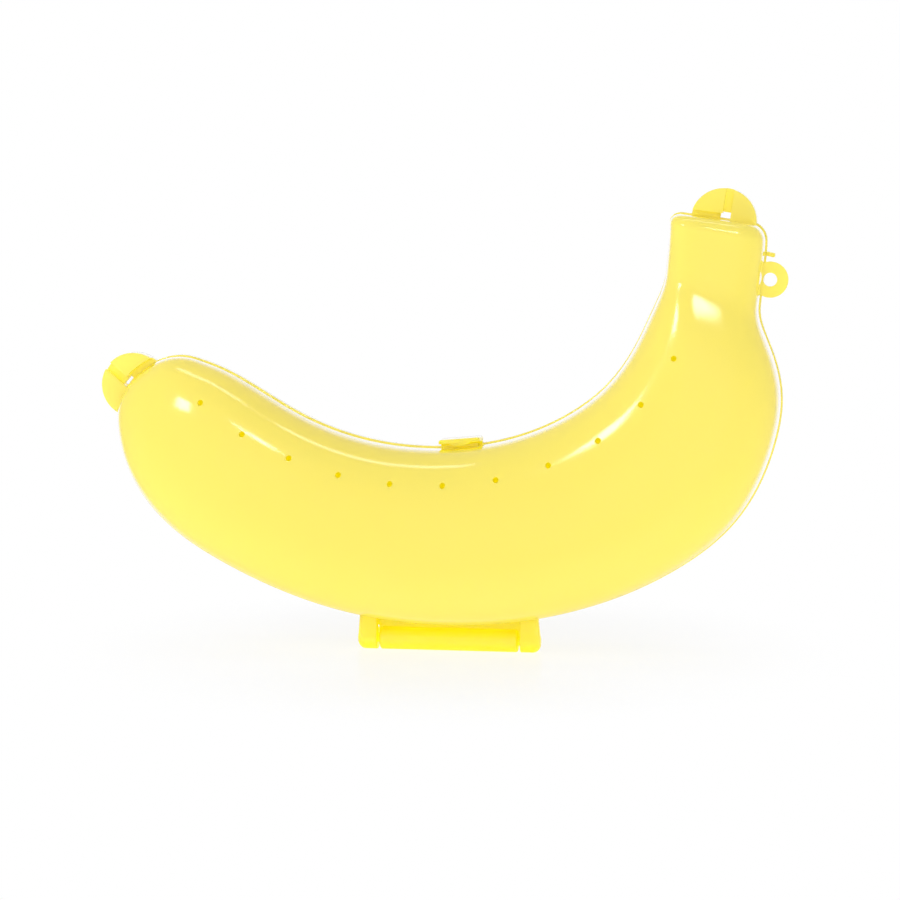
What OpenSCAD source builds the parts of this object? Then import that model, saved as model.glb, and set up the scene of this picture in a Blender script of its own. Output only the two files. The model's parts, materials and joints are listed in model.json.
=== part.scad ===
// Banana carrying case: two moulded half shells, hinged along the outer bend and snapped
// shut at the inner bend, with a finger tab at each end and a ring for a lanyard.
// The case stands on its hinge: +Z is up, +X runs along the hinge toward the stem and
// the front half faces -Y. Angles around the bend are 0 straight down, positive to +X.

/* [Tip] */
// Angle of the tip's end around the bend
tip_deg = -55; // [-60:0.1:-52]
// Bend radius of the centre line at the tip's end
tip_r = 96.5; // [92:0.1:103]
// Exponent of the tip's outline, 2 is an ellipse and more is blunter
tip_square = 2.25; // [2:0.05:3]
// Angle at which the rounded tip starts
shoulder_deg = -29.8; // [-34:0.1:-26]
// Bend radius of the centre line at the shoulder
shoulder_r = 99.7; // [94:0.1:103]
// Width across the shoulder
shoulder_w = 47.6; // [36:0.2:50]
// Depth through the shoulder, both halves
shoulder_d = 41; // [32:0.5:46]

/* [Middle] */
// Angle of the middle section
middle_deg = -3.5; // [-12:0.1:6]
// Bend radius of the centre line at the middle
middle_r = 101.3; // [98:0.1:106]
// Width across the middle
middle_w = 49.6; // [40:0.2:54]
// Depth through the middle and the belly, both halves
case_d = 44; // [36:0.5:52]

/* [Belly] */
// Angle of the widest section
belly_deg = 39.4; // [32:0.1:44]
// Bend radius of the centre line at the belly
belly_r = 106; // [102:0.1:110]
// Width across the belly
belly_w = 52.6; // [46:0.2:58]

/* [Stem] */
// Angle of the section half way down the shoulder of the stem
slope_deg = 58.8; // [55:0.1:62]
// Bend radius of the centre line there
slope_r = 98.4; // [94:0.1:101]
// Width across that section
slope_w = 43.9; // [37:0.1:48]
// Depth through that section
slope_d = 40; // [32:0.5:43]
// Angle of the neck
neck_deg = 69.1; // [66:0.1:72]
// Bend radius of the centre line at the neck
neck_r = 88.95; // [86:0.05:92]
// Width across the neck
neck_w = 27.4; // [25:0.2:33]
// Depth through the neck
neck_d = 28; // [24:0.5:32]
// Angle of the stem's flat end
stem_deg = 82.1; // [79:0.1:85]
// Bend radius of the centre line at the stem's end
stem_r = 85.2; // [82:0.1:88]
// Width across the stem's end
stem_w = 26.7; // [25:0.1:33]
// Depth through the stem's end
stem_d = 26; // [22:0.5:30]
// Radius of the rounded edge around the stem's end
stem_round = 3.6; // [2.5:0.1:6]

/* [Shell] */
// Wall thickness of both halves
wall = 1.6; // [1.2:0.1:2.4]
// Exponent of the body's section, 2 is an ellipse and more is squarer
body_square = 2.6; // [2.2:0.1:3.2]
// Exponent of the stem's section
stem_square = 4; // [3:0.1:5]
// Gap between the two rims
seam_gap = 0.2; // [0.1:0.05:0.4]
// Thickness of the front half's outer lip
lap_t = 0.7; // [0.5:0.05:0.9]
// Height of the lap between the two rims
lap_h = 1.6; // [1:0.1:2.5]
// Clearance between the lapped lips
lap_gap = 0.25; // [0.15:0.05:0.4]
// How far the back half's rim bead stands proud
bead = 0.5; // [0.3:0.05:0.9]
// Depth of the rim bead behind the seam
bead_h = 2.4; // [2:0.1:4]

/* [Vents] */
// Number of vent holes in the front half
vent_count = 11; // [3:1:15]
// Diameter of a vent hole
vent_dia = 1.6; // [1:0.1:2.4]
// Angle of the first vent hole
vent_first_deg = -43; // [-45:0.1:-30]
// Angle of the last vent hole
vent_last_deg = 56.3; // [30:0.1:58]
// Distance of the middle of the vent row from the rim of the inner bend
vent_inset = 8.9; // [6:0.1:14]
// The same distance for the first vent
vent_first_inset = 11.1; // [6:0.1:14]
// The same distance for the last vent
vent_last_inset = 12; // [6:0.1:14]

/* [Hinge] */
// Angle of the hinge's middle around the bend
hinge_deg = 3.9; // [0:0.1:8]
// Radius of the hinge knuckles
knuckle_r = 3.3; // [2.8:0.05:4]
// Height of the hinge axis over the flat foot
axis_z = 3.05; // [2.6:0.05:3.2]
// Distance from the rim down to the hinge axis
hinge_drop = 4.7; // [4.4:0.1:8]
// Length of the barrel on the back half
barrel_len = 39.6; // [24:0.2:44]
// Length of an ear on the front half
ear_len = 5.8; // [4.5:0.1:8]
// End play between the barrel and an ear
ear_gap = 0.7; // [0.3:0.05:1.2]
// Radius of the ear's rounded outer end
ear_round = 2.6; // [1:0.1:2.7]
// Radius of the rounded edges at the barrel's ends
barrel_round = 0.9; // [0.3:0.1:1.4]
// How far the barrel's web reaches behind an ear
web_lap = 1.5; // [0.5:0.1:3]
// Radius of the trunnions on the ears
trunnion_r = 1.3; // [1:0.05:1.8]
// Length of a trunnion
trunnion_len = 3; // [2:0.1:5]
// Clearance around a trunnion
trunnion_fit = 0.06; // [0.02:0.01:0.1]

/* [Tabs] */
// Radius of the finger tabs
tab_r = 9.2; // [7:0.1:11]
// Thickness of each layer of a tab
tab_t = 2.2; // [1.6:0.1:2.4]
// How far the stem tab's centre lies inside the stem's end
tab_inset = 0.5; // [0:0.1:3]
// Width of the slit between the two quarters of a tab
slit_w = 2.3; // [1.2:0.1:3]
// Offset of the slit from the tab's middle, toward the outer bend
slit_shift = 0.6; // [0:0.1:1.2]
// Width of the groove between the back half's quarter and the case
groove_w = 1.7; // [1:0.1:2.5]
// Length of the slot at the foot of the slit
slot_len = 2.9; // [2.4:0.1:4]
// How far the tip tab's centre lies inside the tip's end
tip_tab_inset = 1.9; // [1:0.1:5]
// Offset of the tip tab's centre from the tip's end, toward the outer bend
tip_tab_shift = 5.4; // [2:0.1:6]
// Lean of the tip tab toward the outer bend
tip_tab_lean = 14; // [0:1:20]
// Offset of the stem tab's centre from the centre line, toward the outer bend
stem_tab_shift = 1.7; // [-1:0.1:2]

/* [Latch] */
// Angle of the latch around the bend
latch_deg = 9.3; // [-10:0.1:20]
// Lean of the latch back toward level
latch_lean = 4.2; // [0:0.1:6]
// Width of the tongue
tongue_w = 11.8; // [8:0.1:14]
// Height of the tongue's top over the rim
tongue_h = 2.6; // [2.4:0.1:4]
// Thickness of the tongue's bridge
tongue_t = 1.2; // [0.9:0.1:1.5]
// Radius of the tongue's top corners
tongue_round = 0.7; // [0.3:0.1:0.8]
// Width of the hook's nose
nose_w = 2.4; // [1.5:0.1:6]
// Thickness of the hook
hook_t = 1.2; // [0.8:0.1:1.6]
// Width of the catch on the front half
catch_w = 10; // [6:0.1:12]
// Height of the catch over the rim
catch_h = 1; // [0.6:0.1:1.4]
// Clearance between the hook and the catch
latch_gap = 0.3; // [0.2:0.05:0.5]

/* [Ring and peg] */
// Angle of the lanyard ring around the bend
ring_deg = 74; // [71:0.1:77]
// Outer radius of the ring
ring_r = 5; // [4:0.05:6]
// Radius of the ring's hole
ring_hole_r = 1.9; // [1.5:0.05:2.6]
// Wall left between the hole and the case
ring_wall = 0.4; // [0.3:0.05:1.5]
// Angle of the short peg above the ring
peg_deg = 77.7; // [77.2:0.1:78.4]
// Length of the peg out from the rim bead
peg_len = 2.4; // [1.5:0.1:3.5]
// Thickness of the peg along the bend
peg_t = 1.2; // [0.8:0.1:1.6]

/* [Hidden] */
$fn = 64;

yellow = [0.98, 0.93, 0.38];
deep_yellow = [0.97, 0.89, 0.28];

// The stations of the loft: angle, centre line radius, half width, half depth, exponent
stations = [
    [shoulder_deg, shoulder_r, shoulder_w / 2, shoulder_d / 2, body_square],
    [middle_deg, middle_r, middle_w / 2, case_d / 2, body_square],
    [belly_deg, belly_r, belly_w / 2, case_d / 2, body_square],
    [slope_deg, slope_r, slope_w / 2, slope_d / 2, body_square],
    [neck_deg, neck_r, neck_w / 2, neck_d / 2, (body_square + stem_square) / 2],
    [stem_deg, stem_r, stem_w / 2, stem_d / 2, stem_square],
];
last = len(stations) - 1;
// Where the ramp of the depth meets the stem in a crease: station and column
neck = 4;
depth = 3;

// Rings along the tip, the body and the stem's rounded end, and facets across a half section
tip_rings = 9;
body_rings = 32;
end_rings = 4;
section_steps = 13;
half_rows = (section_steps + 1) / 2;
tip_start = 5;
tip_per_mm = 180 / (PI * shoulder_r);
stem_per_mm = 180 / (PI * stem_r);

// A smooth curve through the stations that never overshoots them
function rise(k, c) = (stations[k + 1][c] - stations[k][c]) / (stations[k + 1][0] - stations[k][0]);
function tangent(k, c, run) =
    k == 0 ? 0
    : k == last ? rise(last - 1, c)
    : k == neck && c == depth ? rise(run, c)
    : rise(k - 1, c) * rise(k, c) <= 0 ? 0
    : 2 * rise(k - 1, c) * rise(k, c) / (rise(k - 1, c) + rise(k, c));
function span(deg) = max([for (k = [0 : last - 1]) stations[k][0] <= deg ? k : 0]);
function along(deg, c) =
    deg <= shoulder_deg ? stations[0][c]
    : let (k = span(deg), a = stations[k], b = stations[k + 1], run = b[0] - a[0], t = (deg - a[0]) / run)
      (1 + 2 * t) * pow(1 - t, 2) * a[c] + t * pow(1 - t, 2) * run * tangent(k, c, k)
      + t * t * (3 - 2 * t) * b[c] - t * t * (1 - t) * run * tangent(k + 1, c, k);
function inner_r(deg) = along(deg, 1) - along(deg, 2);
function outer_r(deg) = along(deg, 1) + along(deg, 2);

// The bend centre, placed so that the foot under the hinge stands at the origin
hinge_r = outer_r(hinge_deg) + hinge_drop;
bend_x = -hinge_r * sin(hinge_deg);
bend_z = axis_z + hinge_r * cos(hinge_deg);

// A ring of the loft, grown by g: angle, centre line radius, half width, half depth, exponent
function tip_ring(b, g) = let (full = pow(1 - pow(cos(b), tip_square), 1 / tip_square)) [
    shoulder_deg - (shoulder_deg - tip_deg + g * tip_per_mm) * cos(b),
    shoulder_r + (tip_r - shoulder_r) * pow(cos(b), 2),
    (shoulder_w / 2 + g) * full, (shoulder_d / 2 + g) * full, body_square,
];
function body_ring(deg, g) = [deg, along(deg, 1), along(deg, 2) + g, along(deg, 3) + g, along(deg, 4)];
function end_ring(b, g) = let (
    inset = (stem_round + g) * (1 - cos(b)),
    deg = stem_deg + (g - (stem_round + g) * (1 - sin(b))) * stem_per_mm
) [deg, along(deg, 1), along(deg, 2) + g - inset, along(deg, 3) + g - inset, along(deg, 4)];
body_end_deg = stem_deg - stem_round * stem_per_mm;
function rings(g) = concat(
    [for (i = [0 : tip_rings - 1]) tip_ring(tip_start + (90 - tip_start) * i / tip_rings, g)],
    [for (i = [0 : body_rings - 1]) body_ring(shoulder_deg + (body_end_deg - shoulder_deg) * i / body_rings, g)],
    [for (i = [0 : end_rings]) end_ring(90 * i / end_rings, g)]
);
ring_count = tip_rings + body_rings + end_rings + 1;
ring_angles = [for (r = rings(0)) r[0]];
function ring_before(deg) = max([for (i = [0 : ring_count - 1]) ring_angles[i] < deg ? i : 0]);
function ring_after(deg) = min([for (i = [0 : ring_count - 1]) ring_angles[i] > deg ? i : ring_count - 1]);

// A point at an angle and radius of the bend, y behind the seam
function bend_point(deg, r, y) = [bend_x + r * sin(deg), y, bend_z - r * cos(deg)];
// A point of a ring's half section: row 0 is the inner bend, the last row the outer bend
function section_point(ring, row, side) = let (
    a = 180 * row / section_steps,
    reach = pow(pow(abs(cos(a)) / ring[2], ring[4]) + pow(abs(sin(a)) / ring[3], ring[4]), -1 / ring[4])
) bend_point(ring[0], ring[1] - reach * cos(a), side * reach * sin(a));
// A point on the rim, on the inner bend (way -1) or the outer bend (way 1)
function rim_point(ring, way, y) = bend_point(ring[0], ring[1] + way * ring[2], y);

// One ring of a half shell as a closed loop: down the inner bend's side from the crown to the
// rim, back up inside, and the same on the outer bend's side. Each rim row is [grow, y].
function shell_loop(outer, inner, rim, rows, side) = concat(
    [for (v = [half_rows - 1 : -1 : 1]) section_point(outer, v, side)],
    [for (k = [0 : len(rim) - 1]) rim_point(rows[k], -1, rim[k][1])],
    [for (v = [1 : half_rows - 1]) section_point(inner, v, side)],
    [for (v = [half_rows : section_steps - 1]) section_point(inner, v, side)],
    [for (k = [len(rim) - 1 : -1 : 0]) rim_point(rows[k], 1, rim[k][1])],
    [for (v = [section_steps - 1 : -1 : half_rows]) section_point(outer, v, side)]
);

// Triangles between neighbouring rings of n points, and across the two closed ends
function quad(a, b, c, d) = [[a, b, c], [a, c, d]];
function flip(faces, on) = on ? [for (f = faces) [f[0], f[2], f[1]]] : faces;
function skin(count, n) = [
    for (i = [0 : count - 2]) for (a = [0 : n - 1])
        each quad(i * n + a, i * n + (a + 1) % n, (i + 1) * n + (a + 1) % n, (i + 1) * n + a)
];
function cap(first, n) = [
    for (a = [0 : n / 2 - 2]) each quad(first + a, first + n - 1 - a, first + n - 2 - a, first + a + 1)
];
function loft_faces(count, n, side) =
    flip(concat(skin(count, n), cap(0, n), flip(cap((count - 1) * n, n), true)), side < 0);

// A half shell: its rim is a list of [grow, y] rows from the outer wall to the inner wall
module half_shell(rim, side) {
    outer = rings(0);
    inner = rings(-wall);
    grown = [for (row = rim) rings(row[0])];
    loops = [for (i = [0 : ring_count - 1])
        shell_loop(outer[i], inner[i], rim, [for (g = grown) g[i]], side)];
    polyhedron([for (l = loops) each l], loft_faces(ring_count, len(loops[0]), side), convexity = 8);
}

// The space that the front half fills between two rings, to seat its features on
module front_space(first, end) {
    outer = rings(0);
    points = [for (i = [first : end]) for (v = [0 : section_steps])
        section_point(outer[i], v, -1) - (v == 0 || v == section_steps ? [0, seam_gap / 2, 0] : [0, 0, 0])];
    polyhedron(points, loft_faces(end - first + 1, section_steps + 1, -1), convexity = 4);
}

// The space inside the back half's rim, grown by g, between two rings
module rim_space(g, first, end) {
    grown = rings(g);
    outline = [
        for (i = [first : end]) rim_point(grown[i], -1, 0),
        for (i = [end : -1 : first]) rim_point(grown[i], 1, 0),
    ];
    translate([0, case_d, 0]) rotate([90, 0, 0]) linear_extrude(2 * case_d)
        polygon([for (p = outline) [p[0], p[2]]]);
}

// A feature's own frame at an angle and radius: +X along the bend, +Z toward the bend centre
module at_bend(deg, r) {
    translate([bend_x, 0, bend_z]) rotate([0, -deg, 0]) translate([0, 0, -r]) children();
}

// A finger tab's own frame: +X points out of the end, +Z toward the inner bend
tip_tab_deg = tip_deg + tip_tab_inset * tip_per_mm;
module at_tip_tab() {
    at_bend(tip_tab_deg, tip_r + tip_tab_shift)
        mirror([1, 0, 0]) rotate([0, tip_tab_lean, 0]) children();
}
module at_stem_tab() {
    at_bend(stem_deg - tab_inset * stem_per_mm, stem_r + stem_tab_shift) children();
}

// A block given by its two corners
module block(low, high) {
    translate(low) cube(high - low);
}

// A disc in the tab's plane between two depths
module tab_disc(front, back) {
    translate([0, back, 0]) rotate([90, 0, 0]) cylinder(r = tab_r, h = back - front);
}

// The slit runs between these two heights in the tab's frame
slit_low = -slit_shift - slit_w / 2;
slit_high = slit_low + slit_w;
tab_front = -seam_gap - tab_t;
far = 3 * tab_r;

// The back half's layer of a tab, to be cut by the case: a plate with a raised quarter
module back_tab_plate() {
    difference() {
        tab_disc(0, tab_t);
        slot_x = tab_inset + bead;
        block([slot_x, -far, slit_low], [slot_x + groove_w, far, slit_low + slot_len]);
    }
}
module back_tab_quarter() {
    intersection() {
        tab_disc(tab_front, 0);
        block([-far, -far, slit_high], [far, far, far]);
    }
}
// The front half's quarter of a tab, to be cut by the case
module front_tab_quarter() {
    intersection() {
        tab_disc(tab_front, -seam_gap);
        block([-far, -far, -far], [far, far, slit_low]);
    }
}

// A hinge knuckle along +X from x 0, with rounded edges at its two ends
module knuckle(length, start_round, end_round) {
    rotate([90, 0, 90]) rotate_extrude() difference() {
        square([knuckle_r, length]);
        translate([knuckle_r - start_round, 0]) difference() {
            square(start_round);
            translate([0, start_round]) circle(start_round);
        }
        translate([knuckle_r - end_round, length - end_round]) difference() {
            square(end_round);
            circle(end_round);
        }
    }
}
// The flat foot under the hinge
module foot_cut() {
    length = barrel_len + 4 * ear_len;
    block([-length, -far, -far], [length, far, 0]);
}
// Rings on both sides of the hinge, and of the latch
hinge_half = barrel_len / 2 + ear_gap + ear_len;
hinge_reach = asin(hinge_half / outer_r(hinge_deg));
hinge_first = ring_before(hinge_deg - hinge_reach);
hinge_end = ring_after(hinge_deg + hinge_reach);
latch_reach = asin(tongue_w / inner_r(latch_deg));
latch_first = ring_before(latch_deg - latch_reach);
latch_end = ring_after(latch_deg + latch_reach);

module back_shell() {
    rim = [
        [0, bead_h + bead], [bead, bead_h], [bead, 0],
        [-lap_t - lap_gap, 0], [-lap_t - lap_gap, lap_gap - lap_h], [-wall, lap_gap - lap_h],
    ];
    color(yellow) half_shell(rim, 1);
}

// Distance of a vent from the rim, from -1 at the first vent to 1 at the last
function vent_inset_at(s) =
    vent_inset + (vent_last_inset - vent_first_inset) / 2 * s
    + ((vent_first_inset + vent_last_inset) / 2 - vent_inset) * s * s;

module front_shell() {
    edge = -seam_gap / 2;
    rim = [[0, edge], [-lap_t, edge], [-lap_t, -lap_h], [-wall, -lap_h]];
    color(yellow) difference() {
        half_shell(rim, -1);
        for (i = [0 : vent_count - 1]) {
            run = i / (vent_count - 1);
            deg = vent_first_deg + (vent_last_deg - vent_first_deg) * run;
            at_bend(deg, inner_r(deg) + vent_inset_at(2 * run - 1))
                rotate([90, 0, 0]) cylinder(d = vent_dia, h = case_d);
        }
    }
}

module hinge_barrel() {
    half = barrel_len / 2;
    flank = half + ear_gap - seam_gap;
    bore_depth = trunnion_len + ear_gap;
    web_half = half + ear_gap + web_lap;
    web_low = axis_z + knuckle_r + ear_gap / 2;
    web_high = axis_z + 2 * hinge_drop;
    color(deep_yellow) difference() {
        union() {
            translate([-half, 0, axis_z]) knuckle(barrel_len, barrel_round, barrel_round);
            block([-flank, 0, axis_z], [flank, tab_t, web_high]);
            block([-web_half, 0, web_low], [web_half, tab_t, web_high]);
        }
        rim_space(bead, hinge_first, hinge_end);
        for (way = [-1, 1])
            translate([way * (half + ear_gap), 0, axis_z]) rotate([0, -90 * way, 0])
                cylinder(r = trunnion_r + trunnion_fit, h = bore_depth);
        foot_cut();
    }
}

// The right ear; the left one is its mirror image
module hinge_ear() {
    start = barrel_len / 2 + ear_gap;
    color(deep_yellow) difference() {
        union() {
            translate([start, 0, axis_z]) knuckle(ear_len, barrel_round / 2, ear_round);
            translate([start - trunnion_len, 0, axis_z]) rotate([0, 90, 0])
                cylinder(r = trunnion_r, h = trunnion_len + ear_len / 2);
            block(
                [start, -seam_gap - tab_t, axis_z],
                [start + ear_len - barrel_round, -seam_gap, axis_z + 2 * hinge_drop]
            );
        }
        children();
        foot_cut();
    }
}
module hinge_ear_right() {
    hinge_ear() front_space(hinge_first, hinge_end);
}
module hinge_ear_left() {
    mirror([1, 0, 0]) hinge_ear() mirror([1, 0, 0]) front_space(hinge_first, hinge_end);
}

tip_end = ring_after(tip_tab_deg + 2 * tab_r * tip_per_mm);
module back_tip_tab() {
    color(yellow) union() {
        difference() {
            at_tip_tab() back_tab_plate();
            rim_space(bead, 0, tip_end);
        }
        difference() {
            at_tip_tab() back_tab_quarter();
            rim_space(groove_w, 0, tip_end);
        }
    }
}
module front_tip_tab() {
    color(yellow) difference() {
        at_tip_tab() front_tab_quarter();
        front_space(0, tip_end);
    }
}

stem_first = ring_before(stem_deg - 2 * tab_r * stem_per_mm);
module back_stem_tab() {
    color(yellow) union() {
        difference() {
            at_stem_tab() back_tab_plate();
            rim_space(bead, stem_first, ring_count - 1);
        }
        difference() {
            at_stem_tab() back_tab_quarter();
            rim_space(groove_w, stem_first, ring_count - 1);
        }
    }
}
module front_stem_tab() {
    color(yellow) difference() {
        at_stem_tab() front_tab_quarter();
        front_space(stem_first, ring_count - 1);
    }
}

// The catch lies right behind the hook, which hangs from the tongue's bridge
catch_front = -seam_gap - tab_t;
hook_back = catch_front - latch_gap;
hook_front = hook_back - hook_t;
bridge_low = tongue_h - tongue_t;

module at_latch() {
    at_bend(latch_deg, inner_r(latch_deg)) rotate([0, latch_lean, 0]) children();
}

// A slab of the tongue with rounded top corners, from a height to the top and between two depths
module tongue_slab(low, front, back) {
    corner_x = tongue_w / 2 - tongue_round;
    corner_z = tongue_h - tongue_round;
    translate([0, back, 0]) rotate([90, 0, 0]) linear_extrude(back - front) {
        translate([-tongue_w / 2, low]) square([tongue_w, corner_z - low]);
        translate([-corner_x, low]) square([2 * corner_x, tongue_h - low]);
        for (way = [-1, 1]) translate([way * corner_x, corner_z]) circle(tongue_round);
    }
}

module latch_tongue() {
    half = tongue_w / 2;
    nose_low = catch_h / 2;
    color(yellow) difference() {
        at_latch() union() {
            tongue_slab(-1, 0, tab_t);
            tongue_slab(bridge_low, hook_front, tab_t);
            translate([0, hook_back, 0]) rotate([90, 0, 0]) linear_extrude(hook_t) polygon([
                [-half, bridge_low], [half, bridge_low], [nose_w / 2, nose_low], [-nose_w / 2, nose_low],
            ]);
        }
        rim_space(bead, latch_first, latch_end);
    }
}

module latch_catch() {
    half = catch_w / 2;
    color(yellow) difference() {
        at_latch() block([-half, catch_front, -1], [half, -seam_gap, catch_h]);
        front_space(latch_first, latch_end);
    }
}

module lanyard_ring() {
    ring_at = outer_r(ring_deg) + ring_wall + ring_hole_r;
    color(yellow) difference() {
        at_bend(ring_deg, ring_at) translate([0, -seam_gap, 0]) rotate([90, 0, 0]) difference() {
            cylinder(r = ring_r, h = tab_t);
            translate([0, 0, -1]) cylinder(r = ring_hole_r, h = tab_t + 2);
        }
        front_space(ring_before(ring_deg - 2 * ring_r * stem_per_mm), ring_count - 1);
    }
}

module side_peg() {
    color(yellow) difference() {
        at_bend(peg_deg, outer_r(peg_deg) + bead)
            block([-peg_t / 2, 0, -peg_len], [peg_t / 2, tab_t, bead + wall]);
        rim_space(bead, stem_first, ring_count - 1);
    }
}

back_shell();
hinge_barrel();
back_tip_tab();
back_stem_tab();
latch_tongue();
side_peg();
front_shell();
hinge_ear_left();
hinge_ear_right();
front_tip_tab();
front_stem_tab();
latch_catch();
lanyard_ring();
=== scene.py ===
import json
import math

import bmesh
import bpy
import numpy as np
from bpy.props import FloatProperty, FloatVectorProperty, IntProperty, PointerProperty
from mathutils import Matrix, Vector


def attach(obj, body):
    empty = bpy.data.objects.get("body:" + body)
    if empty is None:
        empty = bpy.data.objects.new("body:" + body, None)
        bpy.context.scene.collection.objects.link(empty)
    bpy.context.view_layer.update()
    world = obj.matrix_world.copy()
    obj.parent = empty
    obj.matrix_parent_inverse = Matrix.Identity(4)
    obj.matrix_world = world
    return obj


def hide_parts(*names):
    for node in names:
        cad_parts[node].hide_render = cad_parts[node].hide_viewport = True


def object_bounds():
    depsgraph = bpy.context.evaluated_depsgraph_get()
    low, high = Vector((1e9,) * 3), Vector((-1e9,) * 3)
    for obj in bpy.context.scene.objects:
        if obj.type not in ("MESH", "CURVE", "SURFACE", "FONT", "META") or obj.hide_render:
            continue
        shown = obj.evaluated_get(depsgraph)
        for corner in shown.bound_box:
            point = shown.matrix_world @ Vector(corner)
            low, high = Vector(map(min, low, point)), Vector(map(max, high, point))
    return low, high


bl_info = {
    "name": "Banana Carrying Case",
    "version": (1, 0, 0),
    "blender": (4, 5, 0),
    "location": "3D View > Sidebar > Banana Case",
    "description": "Models a hinged, moulded banana carrying case and the studio it stands in",
    "category": "Add Mesh",
}

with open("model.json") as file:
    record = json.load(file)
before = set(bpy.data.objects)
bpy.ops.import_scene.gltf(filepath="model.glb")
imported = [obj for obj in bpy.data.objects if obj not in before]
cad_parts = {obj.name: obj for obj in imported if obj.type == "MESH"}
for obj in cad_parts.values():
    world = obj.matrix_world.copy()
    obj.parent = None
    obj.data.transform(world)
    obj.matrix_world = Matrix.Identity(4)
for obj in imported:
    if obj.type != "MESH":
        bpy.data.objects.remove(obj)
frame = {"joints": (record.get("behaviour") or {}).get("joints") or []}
CAD_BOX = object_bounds()
HINGE = frame["joints"][0]
MM = 0.001

# How deep a feature's foot is sunk into the rim, and how far under the rim a foot starts before it is cut off
SEAT = 0.1 * MM
FOOT = 1 * MM


def length(name, description, millimetres):
    """A size in metres, given in millimetres."""
    return FloatProperty(name=name, description=description, default=millimetres * MM, subtype="DISTANCE",
                         unit="LENGTH", precision=5)


def angle(name, description, degrees):
    """An angle in radians, given in degrees."""
    return FloatProperty(name=name, description=description, default=math.radians(degrees), subtype="ANGLE")


def factor(name, description, value):
    """A plain number."""
    return FloatProperty(name=name, description=description, default=value)


def colour(name, description, value):
    """A linear colour."""
    return FloatVectorProperty(name=name, description=description, default=value, size=3, subtype="COLOR",
                               min=0, max=1)


# Each named section's angle in degrees, then its bend radius, width and depth in millimetres
SECTIONS = {
    "shoulder": (-29.8, 99.7, 47.6, 41),
    "middle": (-3.5, 101.3, 49.6, 44),
    "belly": (39.4, 106, 52.6, 44),
    "slope": (58.8, 98.4, 43.9, 40),
    "neck": (69.1, 88.95, 27.4, 28),
    "stem": (82.1, 85.2, 26.7, 26),
}


class ShellSizes(bpy.types.PropertyGroup):
    """The two half shells: sections around the bend, wall and rim."""

    tip_angle: angle("Tip end", "Angle of the tip's end around the bend", -55)
    tip_r: length("Tip bend radius", "Bend radius at the tip's end", 96.5)
    tip_square: factor("Tip bluntness", "Exponent of the tip's outline, 2 is an ellipse", 2.25)
    stem_round: length("Stem rounding", "Radius of the rounded edge around the stem's end", 3.6)
    body_square: factor("Body squareness", "Exponent of the body's section, 2 is an ellipse", 2.6)
    stem_square: factor("Stem squareness", "Exponent of the stem's section", 4)
    blend: angle("Blend", "How far one section melts into the next", 2.6)
    crease: angle("Crease", "The same at the neck, where the ramp meets the stem in a crease", 0.7)
    crease_reach: angle("Crease reach", "How far from the neck the crease is felt", 5)
    wall: length("Wall", "Wall thickness of both halves", 1.6)
    seam: length("Seam", "Gap between the two rims", 0.2)
    lap_t: length("Lap thickness", "Thickness of the front half's outer lip", 0.7)
    lap_h: length("Lap height", "Height of the lap between the two rims", 1.6)
    lap_gap: length("Lap clearance", "Clearance between the lapped lips", 0.25)
    bead: length("Bead", "How far the back half's rim bead stands proud", 0.4)
    bead_h: length("Bead height", "Depth of the rim bead behind the seam", 2.4)
    edge: length("Edge rounding", "Radius of the moulded edges along the rims", 0.2)
    vent_count: IntProperty(name="Vents", description="Number of vent holes in the front half", default=11)
    vent_d: length("Vent diameter", "Diameter of a vent hole", 1.6)
    vent_edge: length("Vent edge", "Rounding of a vent hole's edges", 0.16)
    vent_first: angle("First vent", "Angle of the first vent hole", -43)
    vent_last: angle("Last vent", "Angle of the last vent hole", 56.3)
    vent_inset: length("Vent inset", "Distance of the row's middle from the inner bend's rim", 8.9)
    vent_first_inset: length("First vent inset", "The same distance for the first vent", 11.1)
    vent_last_inset: length("Last vent inset", "The same distance for the last vent", 12)


for part, (turn, radius, width, depth) in SECTIONS.items():
    title = part.capitalize()
    ShellSizes.__annotations__ |= {
        f"{part}_angle": angle(title, f"Angle of the {part} around the bend", turn),
        f"{part}_r": length(f"{title} bend radius", f"Bend radius at the {part}", radius),
        f"{part}_w": length(f"{title} width", f"Width across the {part}", width),
        f"{part}_d": length(f"{title} depth", f"Depth through the {part}, both halves", depth),
    }


class HingeSizes(bpy.types.PropertyGroup):
    """The hinge under the outer bend."""

    angle: angle("Hinge", "Angle of the hinge's middle around the bend", 3.9)
    radius: length("Knuckle radius", "Radius of the hinge knuckles", 3.3)
    drop: length("Drop", "Distance from the rim down to the hinge axis", 4.7)
    barrel: length("Barrel length", "Length of the barrel on the back half", 39.6)
    ear: length("Ear length", "Length of an ear on the front half", 5.8)
    gap: length("End play", "Gap between the barrel and an ear", 0.7)
    ear_round: length("Ear dome", "Radius of the ear's rounded outer end", 2.6)
    barrel_round: length("Barrel edge", "Radius of the rounded edges at the barrel's ends", 0.9)
    web_lap: length("Web lap", "How far the barrel's web reaches behind an ear", 1.5)
    pin_r: length("Trunnion radius", "Radius of the trunnions on the ears", 1.3)
    pin_length: length("Trunnion length", "Length of a trunnion", 3)
    pin_fit: length("Trunnion fit", "Clearance around a trunnion", 0.06)
    edge: length("Edge rounding", "Radius of the moulded edges on the webs", 0.25)


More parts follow.
